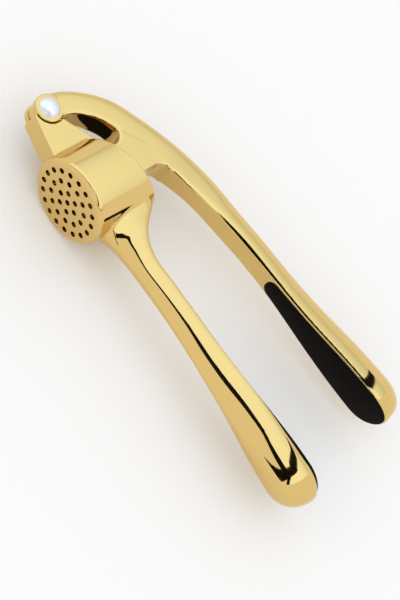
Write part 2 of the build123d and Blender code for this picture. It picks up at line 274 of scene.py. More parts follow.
def fair(knots, values, samples):
    """Values at samples along a curve that runs through the knots with no jump in its bend."""
    knots, values, samples = (np.asarray(a, float) for a in (knots, values, samples))
    step = np.diff(knots)
    left = np.eye(len(knots))
    right = np.zeros(values.shape)
    for i in range(1, len(knots) - 1):
        left[i, i - 1 : i + 2] = step[i - 1], 2 * (step[i - 1] + step[i]), step[i]
        right[i] = 6 * ((values[i + 1] - values[i]) / step[i] - (values[i] - values[i - 1]) / step[i - 1])
    bend = np.linalg.solve(left, right)
    i = np.clip(np.searchsorted(knots, samples) - 1, 0, len(step) - 1)
    h = step[i][:, None]
    a = (knots[i + 1] - samples)[:, None]
    b = (samples - knots[i])[:, None]
    return (
        (bend[i] * a**3 + bend[i + 1] * b**3) / (6 * h)
        + (values[i] / h - bend[i] * h / 6) * a
        + (values[i + 1] / h - bend[i + 1] * h / 6) * b
    )


def new_piece(name, mesh):
    """A linked object with a mesh."""
    piece = bpy.data.objects.new(name, mesh)
    bpy.context.scene.collection.objects.link(piece)
    return piece


def mesh_from(name, verts, faces):
    """A mesh in the frame from points in millimetres."""
    mesh = bpy.data.meshes.new(name)
    placed = [ORIGIN + Vector(v) * MM for v in verts]
    mesh.from_pydata(placed, [], faces)
    mesh.validate()
    work = bmesh.new()
    work.from_mesh(mesh)
    bmesh.ops.recalc_face_normals(work, faces=work.faces)
    work.to_mesh(mesh)
    work.free()
    return mesh


def grid_solid(name, rows, tip=None):
    """A closed solid through rings of points, capped flat at its start and flat or by a point at its end."""
    count = len(rows[0])
    verts = [tuple(p) for row in rows for p in row]
    faces = []
    for r in range(len(rows) - 1):
        for i in range(count):
            j = (i + 1) % count
            faces.append((r * count + i, r * count + j, (r + 1) * count + j, (r + 1) * count + i))
    faces.append(tuple(range(count)))
    last = (len(rows) - 1) * count
    if tip is None:
        faces.append(tuple(last + i for i in reversed(range(count))))
    else:
        verts.append(tuple(tip))
        faces += [(last + i, last + (i + 1) % count, len(verts) - 1) for i in range(count)]
    return mesh_from(name, verts, faces)


def prism(name, outline, low, high):
    """A solid under an outline in the XY plane, between two heights."""
    rows = [[(x, y, z) for x, y in outline] for z in (low, high)]
    return grid_solid(name, rows)


def circle(middle, radius, sides):
    """Points round a circle."""
    turns = [2 * pi * i / sides for i in range(sides)]
    return [(middle[0] + radius * cos(turn), middle[1] + radius * sin(turn)) for turn in turns]


def post(name, middle, radius, low, high):
    """A round post along Z."""
    return prism(name, circle(middle, radius, 96), low, high)


def from_hinge(radius, angle):
    """The point at a radius and an angle round the hinge axis."""
    return (HINGE[0] + radius * cos(radians(angle)), HINGE[1] + radius * sin(radians(angle)))


def millimetres(group):
    """A group's values by name, its lengths in millimetres."""
    values = {}
    for name, rule in group.bl_rna.properties.items():
        if name not in ("rna_type", "name"):
            values[name] = getattr(group, name) / MM if rule.unit == "LENGTH" else getattr(group, name)
    return SimpleNamespace(**values)


def evaluated(piece):
    """Replace a piece's mesh by what its modifiers make of it."""
    graph = bpy.context.evaluated_depsgraph_get()
    mesh = bpy.data.meshes.new_from_object(piece.evaluated_get(graph))
    piece.modifiers.clear()
    piece.data = mesh


def trimmed(mesh, *cutters):
    """A mesh with the cutters taken out of it."""
    piece = new_piece("trimmed", mesh)
    cut(piece, *cutters)
    mesh = piece.data
    bpy.data.objects.remove(piece)
    return mesh


def cut(piece, *cutters):
    """Take cutters out of a piece."""
    for mesh in cutters:
        tool = new_piece("cutter", mesh)
        knife = piece.modifiers.new("cut", "BOOLEAN")
        knife.operation = "DIFFERENCE"
        knife.solver = "EXACT"
        knife.object = tool
        evaluated(piece)
        bpy.data.objects.remove(tool)


def cast(name, meshes, grid):
    """One skin over several solids, as a casting has it."""
    joined = bmesh.new()
    for mesh in meshes:
        joined.from_mesh(mesh)
    whole = bpy.data.meshes.new(name)
    joined.to_mesh(whole)
    joined.free()
    piece = new_piece(name, whole)
    skin = piece.modifiers.new("skin", "REMESH")
    skin.mode = "VOXEL"
    skin.voxel_size = grid * MM
    evaluated(piece)
    return piece


def polish(piece, rounds, shares, near=None):
    """Draw each point of a skin towards its neighbours by each share in turn, as far as near lets it.

    A share and then a slightly larger one below zero take out the grid's steps and keep corners and outlines.
    A share alone rounds corners off and fills hollows.
    """
    mesh = piece.data
    places = np.empty(len(mesh.vertices) * 3)
    mesh.vertices.foreach_get("co", places)
    places = places.reshape(-1, 3)
    ends = np.empty(len(mesh.edges) * 2, dtype=np.int64)
    mesh.edges.foreach_get("vertices", ends)
    ends = ends.reshape(-1, 2)
    here = np.concatenate((ends[:, 0], ends[:, 1]))
    there = np.concatenate((ends[:, 1], ends[:, 0]))
    count = np.maximum(np.bincount(here, minlength=len(places)), 1)
    held = np.ones(len(places)) if near is None else near((places - np.array(ORIGIN)) / MM)
    for _ in range(rounds):
        for share in shares:
            sums = [np.bincount(here, places[there, axis], len(places)) for axis in range(3)]
            places += (share * held)[:, None] * (np.stack(sums, axis=1) / count[:, None] - places)
    mesh.vertices.foreach_set("co", places.ravel())
    mesh.update()


def shade(piece):
    """Smooth shading, but for the sharp edges."""
    piece.data.shade_smooth()
    piece.data.set_sharp_from_angle(angle=radians(SHARP_ANGLE))


def finish_piece(piece, material, body, nodes):
    """Dress a piece, set it on its body and let it stand for its nodes."""
    piece.data.materials.clear()
    piece.data.materials.append(material)
    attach(piece, body)
    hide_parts(*nodes)


# ---------------------------------------------------------------- handles


def handle_ring(place, outward_angle, half_width, depth, fullness, rim, back=64, side=8, face=16):
    """Points round a handle: flat across its inner face, turned over at the rim and bowed round its back.

    rim is how far behind the inner face the section is widest.
    """
    out = np.array((cos(radians(outward_angle)), sin(radians(outward_angle))))
    turn = asin(1 / RIM_ROUND)
    ring = []
    for i in range(side):
        angle = turn * (1 - i / side)
        ring.append((half_width - RIM_ROUND * rim * (1 - cos(angle)), rim * (1 - RIM_ROUND * sin(angle))))
    for i in range(back + 1):
        angle = pi * i / back
        reach = np.sign(cos(angle)) * abs(cos(angle)) ** (2 / fullness) * half_width
        ring.append((reach, rim + (depth - rim) * sin(angle) ** (2 / fullness)))
    ring += [(-z, d) for z, d in reversed(ring[:side])]
    edge = ring[0][0]
    ring += [(2 * edge * i / face - edge, 0.0) for i in range(1, face)]
    return [(place[0] + out[0] * d, place[1] + out[1] * d, z) for z, d in ring]


def handle_solid(name, keys, count, sizes, bluntness):
    """A handle through its key sections, from its root to its rounded tip."""
    keys = np.array(keys, float)
    travel = np.concatenate(([0], np.cumsum(np.hypot(*np.diff(keys[:, :2], axis=0).T))))
    rows = fair(travel, keys, np.linspace(0, travel[-1], count))
    rings = [handle_ring(row[:2], *row[2:]) for row in rows]
    x, y, outward_angle, half_width, depth, fullness, rim = rows[-1]
    out = np.array((cos(radians(outward_angle)), sin(radians(outward_angle))))
    along = np.array((abs(out[1]), -out[0] if out[1] > 0 else out[0]))
    steps = 28
    for i in range(1, steps):
        angle = 0.5 * pi * i / steps
        shrink = cos(angle)
        place = np.array((x, y)) + along * sizes.bulb_length * sin(angle)
        place += out * TIP_DROP * depth * (1 - shrink)
        blunt = shrink**bluntness
        ring = handle_ring(place, outward_angle, half_width * shrink, depth * blunt, fullness, rim * blunt)
        rings.append(ring)
    end = np.array((x, y)) + along * sizes.bulb_length + out * TIP_DROP * depth
    return grid_solid(name, rings, (end[0], end[1], 0.0))


def handle_half_width(sizes, x, start, end):
    """Half the width of a handle between its waist and its bulb."""
    return blend(sizes.waist_half_width, sizes.bulb_half_width, (x - start) / (end - start))


def rim_depth(x):
    """How far behind the inner face a handle is widest: far at the waist, and less where a pad is let in."""
    return blend(WAIST_RIM, BULB_RIM, (x - RIM_CHANGE[0]) / (RIM_CHANGE[1] - RIM_CHANGE[0]))


def lower_face(sizes, x):
    """Height of the lower handle's inner face."""
    share = (x - WAIST_REACH) / (sizes.lower_reach - sizes.bulb_length - WAIST_REACH)
    return LOWER_FACE[1] - (LOWER_FACE[1] - LOWER_FACE[0]) * max(1 - share, 0) ** LOWER_FACE_BOW


def lower_keys(sizes):
    """Key sections of the lower handle, from inside the barrel's wall to its bulb."""
    bulb = sizes.lower_reach - sizes.bulb_length
    keys = []
    for run, face, back, half_width, fullness in NECK_ROWS:
        rim = NECK_RIM_SHARE * (face - back)
        keys.append((sizes.barrel_radius + run, face, -90, half_width, face - back, fullness, rim))
    stations, crowding = 8, 1.3
    for i in range(stations + 1):
        x = WAIST_REACH + (bulb - WAIST_REACH) * (i / stations) ** crowding
        deepened = (x - LOWER_DEPTH_START) / (bulb - LOWER_DEPTH_START)
        depth = blend(LOWER_WAIST_DEPTH, sizes.bulb_depth, deepened)
        half_width = handle_half_width(sizes, x, LOWER_FLARE_START, bulb)
        fullness, rim_share = fair(*LOWER_SECTIONS, [x])[0]
        keys.append((x, lower_face(sizes, x), -90, half_width, depth, fullness, rim_share * depth))
    return keys


def upper_points(sizes):
    """Points along the upper handle's inner face."""
    points = [(x, sizes.mouth_height + rise) for x, rise in UPPER_FACE]
    return points + [(sizes.upper_reach - sizes.bulb_length, sizes.mouth_height + UPPER_FACE_RISE)]


def upper_keys(sizes):
    """Key sections of the upper handle, from the hinge over the arch to its bulb."""
    rows = []
    for run, rise, depth in ARCH_ROWS:
        half_width = blend(sizes.hinge_half_width, ARCH_HALF_WIDTH, rise / ARCH_ROWS[-1][1])
        rows.append((HINGE[0] + run, HINGE[1] + rise, half_width, depth, ARCH_FULLNESS, ARCH_RIM))
    arch_end = rows[-1][0]
    arch_extra = ARCH_ROWS[-1][2] - UPPER_WAIST_DEPTH
    bulb = sizes.upper_reach - sizes.bulb_length
    fade_start, fade_end = WAIST_EXTRA_FADE
    for x, y in upper_points(sizes):
        off_arch = (x - arch_end) / (WAIST_REACH - arch_end)
        flared = (x - UPPER_FLARE_START) / (bulb - UPPER_FLARE_START)
        depth = blend(UPPER_WAIST_DEPTH, sizes.bulb_depth, flared)
        depth += blend(arch_extra, 0, (x - arch_end) / (UPPER_FLARE_START - arch_end))
        fullness = blend(ARCH_FULLNESS, UPPER_FULLNESS, off_arch)
        extra = blend(0, WAIST_EXTRA, off_arch) * blend(1, 0, (x - fade_start) / (fade_end - fade_start))
        half_width = handle_half_width(sizes, x, UPPER_FLARE_START, bulb) + extra
        rim = blend(ARCH_RIM, rim_depth(x), off_arch)
        rows.append((x, y, half_width, depth, fullness, rim))
    places = np.array([row[:2] for row in rows], float)
    travel = np.concatenate(([0], np.cumsum(np.hypot(*np.diff(places, axis=0).T))))
    nudge = 0.05
    ahead = fair(travel, places, np.minimum(travel + nudge, travel[-1]))
    behind = fair(travel, places, np.maximum(travel - nudge, 0))
    keys = []
    for row, (dx, dy) in zip(rows, ahead - behind):
        keys.append((row[0], row[1], degrees(atan2(dy, dx)) + 90, *row[2:]))
    return keys


# ---------------------------------------------------------------- materials


def plating():
    """Gold-tone plating on zinc, polished: a mirror with the faint waviness and haze that buffing leaves."""
    material = bpy.data.materials.new(PLATED_ZINC)
    material.use_nodes = True
    tree = material.node_tree
    shader = tree.nodes["Principled BSDF"]
    shader.inputs["Base Color"].default_value = linear(bpy.context.scene.press_colours.plating)
    shader.inputs["Metallic"].default_value = 1.0
    place = add(tree, "ShaderNodeTexCoord").outputs["Object"]
    # Haze: patches a few millimetres across, where the wheel pressed more or less
    haze = add(tree, "ShaderNodeTexNoise", inputs={"Vector": place, "Scale": 1 / (6 * MM), "Detail": 2.0})
    limits = {"To Min": 0.03, "To Max": 0.06}
    rough = add(tree, "ShaderNodeMapRange", inputs={"Value": haze.outputs["Fac"], **limits})
    tree.links.new(rough.outputs["Result"], shader.inputs["Roughness"])
    # Waviness: the casting's own skin under the plating, about 9 mm from crest to crest and some microns high
    wave = add(tree, "ShaderNodeTexNoise", inputs={"Vector": place, "Scale": 1 / (9 * MM), "Detail": 1.0})
    bump = add(
        tree,
        "ShaderNodeBump",
        inputs={"Height": wave.outputs["Fac"], "Strength": 1.0, "Distance": 0.02 * MM},
    )
    tree.links.new(bump.outputs["Normal"], shader.inputs["Normal"])
    return material


def steel():
    """Nickel-plated steel, pressed and barrel-polished: cool, bright and a little softer than the plating."""
    material = bpy.data.materials.new(PLATED_STEEL)
    material.use_nodes = True
    tree = material.node_tree
    shader = tree.nodes["Principled BSDF"]
    shader.inputs["Base Color"].default_value = linear(bpy.context.scene.press_colours.rivet)
    shader.inputs["Metallic"].default_value = 1.0
    place = add(tree, "ShaderNodeTexCoord").outputs["Object"]
    # Fine scuffs from the polishing barrel, 0.8 mm apart
    scuffs = add(tree, "ShaderNodeTexNoise", inputs={"Vector": place, "Scale": 1 / (0.8 * MM), "Detail": 2.0})
    limits = {"To Min": 0.3, "To Max": 0.4}
    rough = add(tree, "ShaderNodeMapRange", inputs={"Value": scuffs.outputs["Fac"], **limits})
    tree.links.new(rough.outputs["Result"], shader.inputs["Roughness"])
    return material


def rubber():
    """Thermoplastic rubber, moulded: near black and satin, with the mould's fine grain."""
    material = bpy.data.materials.new(SOFT_RUBBER)
    material.use_nodes = True
    tree = material.node_tree
    shader = tree.nodes["Principled BSDF"]
    shader.inputs["Base Color"].default_value = linear(bpy.context.scene.press_colours.pad)
    shader.inputs["Roughness"].default_value = 0.5
    shader.inputs["Specular IOR Level"].default_value = 0.04
    place = add(tree, "ShaderNodeTexCoord").outputs["Object"]
    # Mould grain of 0.35 mm, as coarse as it needs to be to show
    grain = add(tree, "ShaderNodeTexNoise", inputs={"Vector": place, "Scale": 1 / (0.35 * MM), "Detail": 3.0})
    bump = add(
        tree,
        "ShaderNodeBump",
        inputs={"Height": grain.outputs["Fac"], "Strength": 0.5, "Distance": 0.03 * MM},
    )
    tree.links.new(bump.outputs["Normal"], shader.inputs["Normal"])
    return material


def named_material(name, maker):
    """A material, made the first time that it is asked for."""
    return bpy.data.materials.get(name) or maker()


# ---------------------------------------------------------------- pieces


def barrel_ring(radius, height):
    """A level ring of the barrel."""
    return [(x, height, z) for x, z in circle((0.0, 0.0), radius, 240)]


def mouth_ring(sizes, radius, share):
    """A ring of the barrel at a share of the way from the plate to the slanted mouth."""
    ring = barrel_ring(radius, 0.0)
    tops = [sizes.mouth_height + x * tan(sizes.mouth_slope) for x, _, _ in ring]
    return [(x, share * top, z) for (x, _, z), top in zip(ring, tops)]


def barrel(sizes):
    """The cup with its plate: out from the middle, up the wall to the mouth and down inside again."""
    outside, edge = sizes.barrel_radius, sizes.plate_edge
    widen = tan(sizes.bore_draft) * sizes.mouth_height
    flat = outside - edge
    rows = [barrel_ring(share * flat, 0.0) for share in (0.1, 0.5, 0.9)]
    for angle in range(0, 91, 9):
        rows.append(barrel_ring(flat + edge * sin(radians(angle)), edge - edge * cos(radians(angle))))
    rows += [mouth_ring(sizes, outside, share) for share in (0.3, 0.5, 0.7, 0.9, 1.0)]
    for share in (1.0, 0.9, 0.7, 0.5, 0.3):
        rows.append(mouth_ring(sizes, sizes.bore_radius + widen * share, share))
    for share in (1.0, 0.9, 0.5, 0.1):
        rows.append(barrel_ring(share * sizes.bore_radius, sizes.plate_thickness))
    return grid_solid("barrel", rows)


def bore(sizes):
    """The inside of the barrel, opening towards the mouth."""
    rise, floor = 2 * sizes.mouth_height, sizes.plate_thickness
    wide = sizes.bore_radius + rise * tan(sizes.bore_draft)
    return grid_solid("bore", [barrel_ring(sizes.bore_radius, floor), barrel_ring(wide, floor + rise)])


def below_mouth(mesh, sizes):
    """Cut away all of a solid that is above the barrel's mouth, and close it."""
    work = bmesh.new()
    work.from_mesh(mesh)
    found = bmesh.ops.bisect_plane(
        work,
        geom=work.verts[:] + work.edges[:] + work.faces[:],
        plane_co=ORIGIN + Vector((0, sizes.mouth_height, 0)) * MM,
        plane_no=Vector((-sin(sizes.mouth_slope), cos(sizes.mouth_slope), 0)),
        clear_outer=True,
    )
    rim = [e for e in found["geom_cut"] if isinstance(e, bmesh.types.BMEdge)]
    bmesh.ops.holes_fill(work, edges=rim, sides=0)
    work.to_mesh(mesh)
    work.free()
    return mesh


def hole_posts(sizes):
    """The holes in the plate, as round posts."""
    places = [(0.0, 0.0)]
    for ring in range(1, sizes.hole_rings + 1):
        for i in range(6 * ring):
            angle = radians(60 * i / ring)
            places.append((ring * sizes.hole_pitch * cos(angle), ring * sizes.hole_pitch * sin(angle)))
    work = bmesh.new()
    spare = 1.0
    for place in places:
        ring = circle(place, sizes.hole_diameter / 2, 40)
        rows = [[(x, y, z) for x, z in ring] for y in (-spare, sizes.plate_thickness + spare)]
        work.from_mesh(grid_solid("hole", rows))
    mesh = bpy.data.meshes.new("holes")
    work.to_mesh(mesh)
    work.free()
    return mesh


def pad_rows(sizes, points, start, flare_start, margin, low, high, side):
    """Rectangular rings of a pad, from its round nose to the round of the bulb.

    side is 1 where the handle's depth runs up, and -1 where it runs down.
    """
    points = np.array(points, float)
    bulb = points[-1][0]
    slope_end = (points[-1][1] - points[-2][1]) / (points[-1][0] - points[-2][0])
    nose = handle_half_width(sizes, start, flare_start, bulb) - margin
    tail = sizes.bulb_length - margin
    steps = 24
    places = [start + nose * (1 - cos(0.5 * pi * i / steps)) for i in range(1, steps)]
    places += list(np.linspace(start + nose, bulb, 4 * steps))
    places += [bulb + tail * sin(0.5 * pi * i / steps) for i in range(1, steps)]
    rows = []
    for x in places:
        if x <= bulb:
            y = float(fair(points[:, 0], points[:, 1:], np.array([x]))[0, 0])
        else:
            run = x - bulb
            drop = TIP_DROP * sizes.bulb_depth * (1 - (1 - (run / sizes.bulb_length) ** 2) ** 0.5)
            y = points[-1][1] + slope_end * run + side * drop
        half = handle_half_width(sizes, x, flare_start, bulb) - margin
        if x < start + nose:
            half *= (1 - (1 - (x - start) / nose) ** 2) ** 0.5
        if x > bulb:
            half *= (1 - ((x - bulb) / tail) ** 2) ** 0.5
        near, far = y + side * low, y + side * high
        rows.append([(x, near, -half), (x, near, half), (x, far, half), (x, far, -half)])
    return rows


def upper_pad(sizes, margin, low, high):
    """The upper handle's pad, or the recess that holds it, between two depths under the inner face."""
    points = upper_points(sizes)
    rows = pad_rows(sizes, points, UPPER_PAD_START, UPPER_FLARE_START, margin, low, high, 1)
    return grid_solid("pad", rows)


def lower_pad(sizes, margin, low, high):
    """The lower handle's pad, or the recess that holds it, between two depths under the inner face."""
    bulb = sizes.lower_reach - sizes.bulb_length
    lead, count = 8.0, 8
    points = [(x, lower_face(sizes, x)) for x in np.linspace(LOWER_PAD_START - lead, bulb, count)]
    rows = pad_rows(sizes, points, LOWER_PAD_START, LOWER_FLARE_START, margin, low, high, -1)
    return grid_solid("pad", rows)


def soft_pad(name, mesh):
    """A pad with its edges rounded."""
    piece = new_piece(name, mesh)
    bevel = piece.modifiers.new("edge", "BEVEL")
    bevel.width = PAD_ROUND * MM
    bevel.segments = 3
    bevel.limit_method = "ANGLE"
    bevel.angle_limit = radians(50)
    evaluated(piece)
    shade(piece)
    return piece


class PRESS_OT_lower_casting(bpy.types.Operator):
    """Build the lower casting: barrel, perforated plate, lug, eye and handle."""

    bl_idname = "press.lower_casting"
    bl_label = "Lower casting"

    def execute(self, context):
        sizes = millimetres(context.scene.press_sizes)
        room = bore(sizes)
        handle = handle_solid("handle", lower_keys(sizes), 240, sizes, LOWER_TIP_BLUNTNESS)
        handle = trimmed(below_mouth(handle, sizes), room)
        overlap = 1
        wall = overlap - sizes.bore_radius
        heel = (HINGE[0], HINGE[1] - LUG_HEEL)
        start, end = NOTCH_SWEEP
        notch_radius, steps = sizes.knuckle_radius + sizes.knuckle_gap, 40
        notch = [from_hinge(notch_radius, start + (end - start) * i / steps) for i in range(steps + 1)]
        nose = from_hinge(LUG_NOSE, end)
        under, over = [(wall, LUG_FOOT), heel], [nose, (wall, LUG_TOP)]
        lug = prism("lug", [*under, *notch, *over], -sizes.lug_half_width, sizes.lug_half_width)
        thin = sizes.eye_half_width
        web = prism("web", [*under, notch[0], HINGE, *over], -thin, thin)
        eye = post("eye", HINGE, sizes.knuckle_radius - sizes.knuckle_gap, -thin, thin)
        parts = [barrel(sizes), handle, trimmed(lug, room), trimmed(web, room), eye]
        piece = cast("lower_casting", parts, sizes.grid)
        polish(piece, SKIN_ROUNDS, EVEN_OUT)
        polish(piece, LUG_ROUNDS, ROUND_OFF, lambda at: lug_root(sizes, at))
        polish(piece, NECK_ROUNDS, ROUND_OFF, lambda at: neck_root(sizes, at))
        cut(piece, hole_posts(sizes), lower_pad(sizes, sizes.grip_lip, sizes.grip_depth, -CUTTER_SPARE))
        shade(piece)
        finish_piece(piece, named_material(PLATED_ZINC, plating), "lower", ["lower_handle"])
        return {"FINISHED"}


def inside(at, box):
    """Which points lie in a box."""
    low, high = box
    return np.all((at > low) & (at < high), axis=1)


def close_to_wall(sizes, at, reach):
    """1 at the barrel's wall, falling to 0 at a distance from it."""
    away = np.abs(np.hypot(at[:, 0], at[:, 2]) - sizes.barrel_radius)
    return np.clip(1.5 - away / reach, 0, 1)


def lug_root(sizes, at):
    """How much each point belongs to where the lug grows out of the barrel."""
    return close_to_wall(sizes, at, ROOT_REACH) * inside(at, LUG_ROOT)


def neck_root(sizes, at):
    """How much each point belongs to where the neck of the handle grows out of the barrel, or to the neck."""
    root = close_to_wall(sizes, at, ROOT_REACH) * inside(at, NECK_ROOT)
    start, end = NECK_STRETCH
    neck = (at[:, 0] > start) * np.clip((end - at[:, 0]) / NECK_FADE, 0, 1)
    return np.maximum(root, neck)


def boss_root(sizes, at):
    """How much each point belongs to where the boss grows out of the arch."""
    near = np.zeros(len(at))
    for x, rise, reach in BOSS_ROOTS:
        away = np.hypot(at[:, 0] - x, at[:, 1] - sizes.mouth_height - rise)
        near = np.maximum(near, np.clip(1.5 - away / reach, 0, 1))
    return near


def hollow(low, radius, side):
    """A quarter round that runs up and away from a point: to the left for side -1, the right for side 1."""
    x, y = low
    steps = 10
    turns = [0.5 * pi * i / steps for i in range(steps + 1)]
    return [(x + side * radius * (1 - cos(turn)), y + radius * sin(turn)) for turn in turns]


def boss_outline(sizes, pin):
    """The part of the upper casting that comes down into the barrel, with hollows under the arch."""
    x, y = pin
    mouth = sizes.mouth_height
    behind = hollow((BOSS_BACK, mouth + BACK_HOLLOW[0]), BACK_HOLLOW[1], -1)
    ahead = hollow((BOSS_FRONT, mouth + FRONT_HOLLOW[0]), FRONT_HOLLOW[1], 1)
    turns = [pi * i / 16 for i in range(17)]
    round_end = [(x - FORK_RADIUS * cos(turn), y - FORK_RADIUS * sin(turn)) for turn in turns]
    front_top = (BOSS_FRONT, mouth + FRONT_HOLLOW[0] + BOSS_RUN_IN)
    back_top = (BOSS_BACK, mouth + BACK_HOLLOW[0] + BOSS_RUN_IN)
    return [*behind[::-1], (BOSS_BACK, mouth + BOSS_CORNER), *round_end, *ahead, front_top, back_top]


class PRESS_OT_upper_casting(bpy.types.Operator):
    """Build the upper casting: cheeks, arch, boss and handle."""

    bl_idname = "press.upper_casting"
    bl_label = "Upper casting"

    def execute(self, context):
        sizes = millimetres(context.scene.press_sizes)
        pin = from_hinge(-HINGE[0] / cos(radians(PIN_ANGLE)), PIN_ANGLE)
        gap = sizes.eye_half_width + sizes.cheek_clearance
        pocket = post("pocket", HINGE, sizes.knuckle_radius + sizes.knuckle_gap, -gap, gap)
        top, foot, reach = pin[1] + SLOT_OVER_PIN, pin[1] - 20.0, 30.0
        slot = prism("slot", [(-reach, foot), (reach, foot), (reach, top), (-reach, top)], -gap, gap)
        handle = handle_solid("handle", upper_keys(sizes), 300, sizes, UPPER_TIP_BLUNTNESS)
        handle = trimmed(handle, pocket, slot)
        knuckle = trimmed(turned_edge(sizes), pocket)
        boss = trimmed(prism("boss", boss_outline(sizes, pin), -ARCH_HALF_WIDTH, ARCH_HALF_WIDTH), slot)
        piece = cast("upper_casting", [handle, knuckle, boss], sizes.grid)
        polish(piece, SKIN_ROUNDS, EVEN_OUT)
        polish(piece, BOSS_ROUNDS, ROUND_OFF, lambda at: boss_root(sizes, at))
        cut(piece, upper_pad(sizes, sizes.grip_lip, -CUTTER_SPARE, sizes.grip_depth))
        shade(piece)
        finish_piece(piece, named_material(PLATED_ZINC, plating), "upper", ["upper_handle"])
        return {"FINISHED"}


def turned_edge(sizes):
    """The round of the cheeks, its edges eased."""
    half, radius, ease, sides = sizes.hinge_half_width, sizes.knuckle_radius, 0.8, 96
    rows = []
    for side in (-1, 1):
        angles = range(0, 91, 15) if side < 0 else range(90, -1, -15)
        for angle in angles:
            reach = radius - ease + ease * sin(radians(angle))
            level = side * (half - ease + ease * cos(radians(angle)))
            rows.append([(*from_hinge(reach, 360 * i / sides), level) for i in range(sides)])
    return grid_solid("knuckle", rows)


class PRESS_OT_small_parts(bpy.types.Operator):
    """Dress the plunger, the pin, the rivet and the pads."""

    bl_idname = "press.small_parts"
    bl_label = "Plunger, rivet and pads"

    def execute(self, context):
        sizes = millimetres(context.scene.press_sizes)
        metal = named_material(PLATED_STEEL, steel)
        for name in ("hinge_rivet", "hinge_rivet_cap", "plunger_pin"):
            dress_node(name, metal)
        dress_node("plunger", named_material(PLATED_ZINC, plating))
        black = named_material(SOFT_RUBBER, rubber)
        snug = sizes.grip_lip + PAD_CLEARANCE
        upper = soft_pad("upper_pad", upper_pad(sizes, snug, -sizes.grip_proud, sizes.grip_depth))
        lower = soft_pad("lower_pad", lower_pad(sizes, snug, sizes.grip_depth, -sizes.grip_proud))
        finish_piece(upper, black, "upper", ["upper_grip"])
        finish_piece(lower, black, "lower", ["lower_grip"])
        return {"FINISHED"}


def dress_node(name, material):
    """Give a CAD node its material."""
    node = frame["nodes"][name]
    node.data.materials.clear()
    node.data.materials.append(material)


# ---------------------------------------------------------------- stage


class PRESS_OT_stage(bpy.types.Operator):
    """Set the floor, the light and the camera."""

    bl_idname = "press.stage"
    bl_label = "Stage"

    def execute(self, context):
        scene = context.scene
        scene.view_settings.view_transform = "Standard"
        make_floor(scene)
        make_world(scene)
        make_panels()
        make_camera(scene)
        return {"FINISHED"}


def make_floor(scene):
    """A wide pale floor just under the press."""
    size = 3.0
    mesh = bpy.data.meshes.new("floor")
    corners = [(-size, -size, 0), (size, -size, 0), (size, size, 0), (-size, size, 0)]
    mesh.from_pydata(corners, [], [(0, 1, 2, 3)])
    floor = new_piece("floor", mesh)
    material = bpy.data.materials.new("white_paper_matt")
    material.use_nodes = True
    shader = material.node_tree.nodes["Principled BSDF"]
    shader.inputs["Base Color"].default_value = linear(scene.press_colours.floor)
    shader.inputs["Roughness"].default_value = 1.0
    shader.inputs["Specular IOR Level"].default_value = 0.0
    mesh.materials.append(material)


def make_world(scene):
    """A white studio."""
    world = bpy.data.worlds.new("white_studio")
    scene.world = world
    world.use_nodes = True
    background = world.node_tree.nodes["Background"]
    background.inputs["Color"].default_value = (1, 1, 1, 1)
    background.inputs["Strength"].default_value = 1.0


def glow(name, colour):
    """A plain glowing cloth: what polished metal shows of a panel."""
    material = bpy.data.materials.new(name)
    material.use_nodes = True
    tree = material.node_tree
    tree.nodes.clear()
    light = add(tree, "ShaderNodeEmission", inputs={"Color": (*colour, 1.0), "Strength": 1.0})
    add(tree, "ShaderNodeOutputMaterial", inputs={"Surface": light.outputs["Emission"]})
    return material


def fade(cloth, full_to, dim_at, share):
    """Dim a glowing cloth along Y, from full strength at one place to a share of it at another."""
    tree = cloth.node_tree
    light = next(node for node in tree.nodes if node.bl_idname == "ShaderNodeEmission")
    place = add(tree, "ShaderNodeNewGeometry").outputs["Position"]
    across = add(tree, "ShaderNodeSeparateXYZ", inputs={0: place}).outputs["Y"]
    places = {"From Min": ORIGIN.y + full_to * MM, "From Max": ORIGIN.y + dim_at * MM}
    shares = {"To Min": 1.0, "To Max": share}
    strength = add(tree, "ShaderNodeMapRange", inputs={"Value": across, **places, **shares})
    tree.links.new(strength.outputs["Result"], light.inputs["Strength"])


def louvre(name, cloth, opens_at):
    """A cloth of slats: dark from straight below, and open to a look that is flatter than a limit.

    The limit is 1 less the cosine of the angle between the look and the slats.
    """
    material = cloth.copy()
    material.name = name
    tree = material.node_tree
    out = next(node for node in tree.nodes if node.bl_idname == "ShaderNodeOutputMaterial")
    light = next(node for node in tree.nodes if node.bl_idname == "ShaderNodeEmission")
    flat = add(tree, "ShaderNodeLayerWeight", inputs={"Blend": 0.5}).outputs["Facing"]
    open_share = add(tree, "ShaderNodeMath", {"operation": "GREATER_THAN"}, {0: flat, 1: opens_at})
    clear = add(tree, "ShaderNodeBsdfTransparent")
    mixed = add(
        tree,
        "ShaderNodeMixShader",
        inputs={0: open_share.outputs["Value"], 1: light.outputs["Emission"], 2: clear.outputs["BSDF"]},
    )
    tree.links.new(mixed.outputs["Shader"], out.inputs["Surface"])
    return material


def make_panel(name, material, corners):
    """A flat panel that only polished surfaces show, from corners in millimetres."""
    mesh = mesh_from(name, corners, [tuple(range(len(corners)))])
    panel = new_piece(name, mesh)
    mesh.materials.append(material)
    panel.visible_camera = False
    panel.visible_diffuse = False
    panel.visible_transmission = False
    panel.visible_volume_scatter = False
    panel.visible_shadow = False


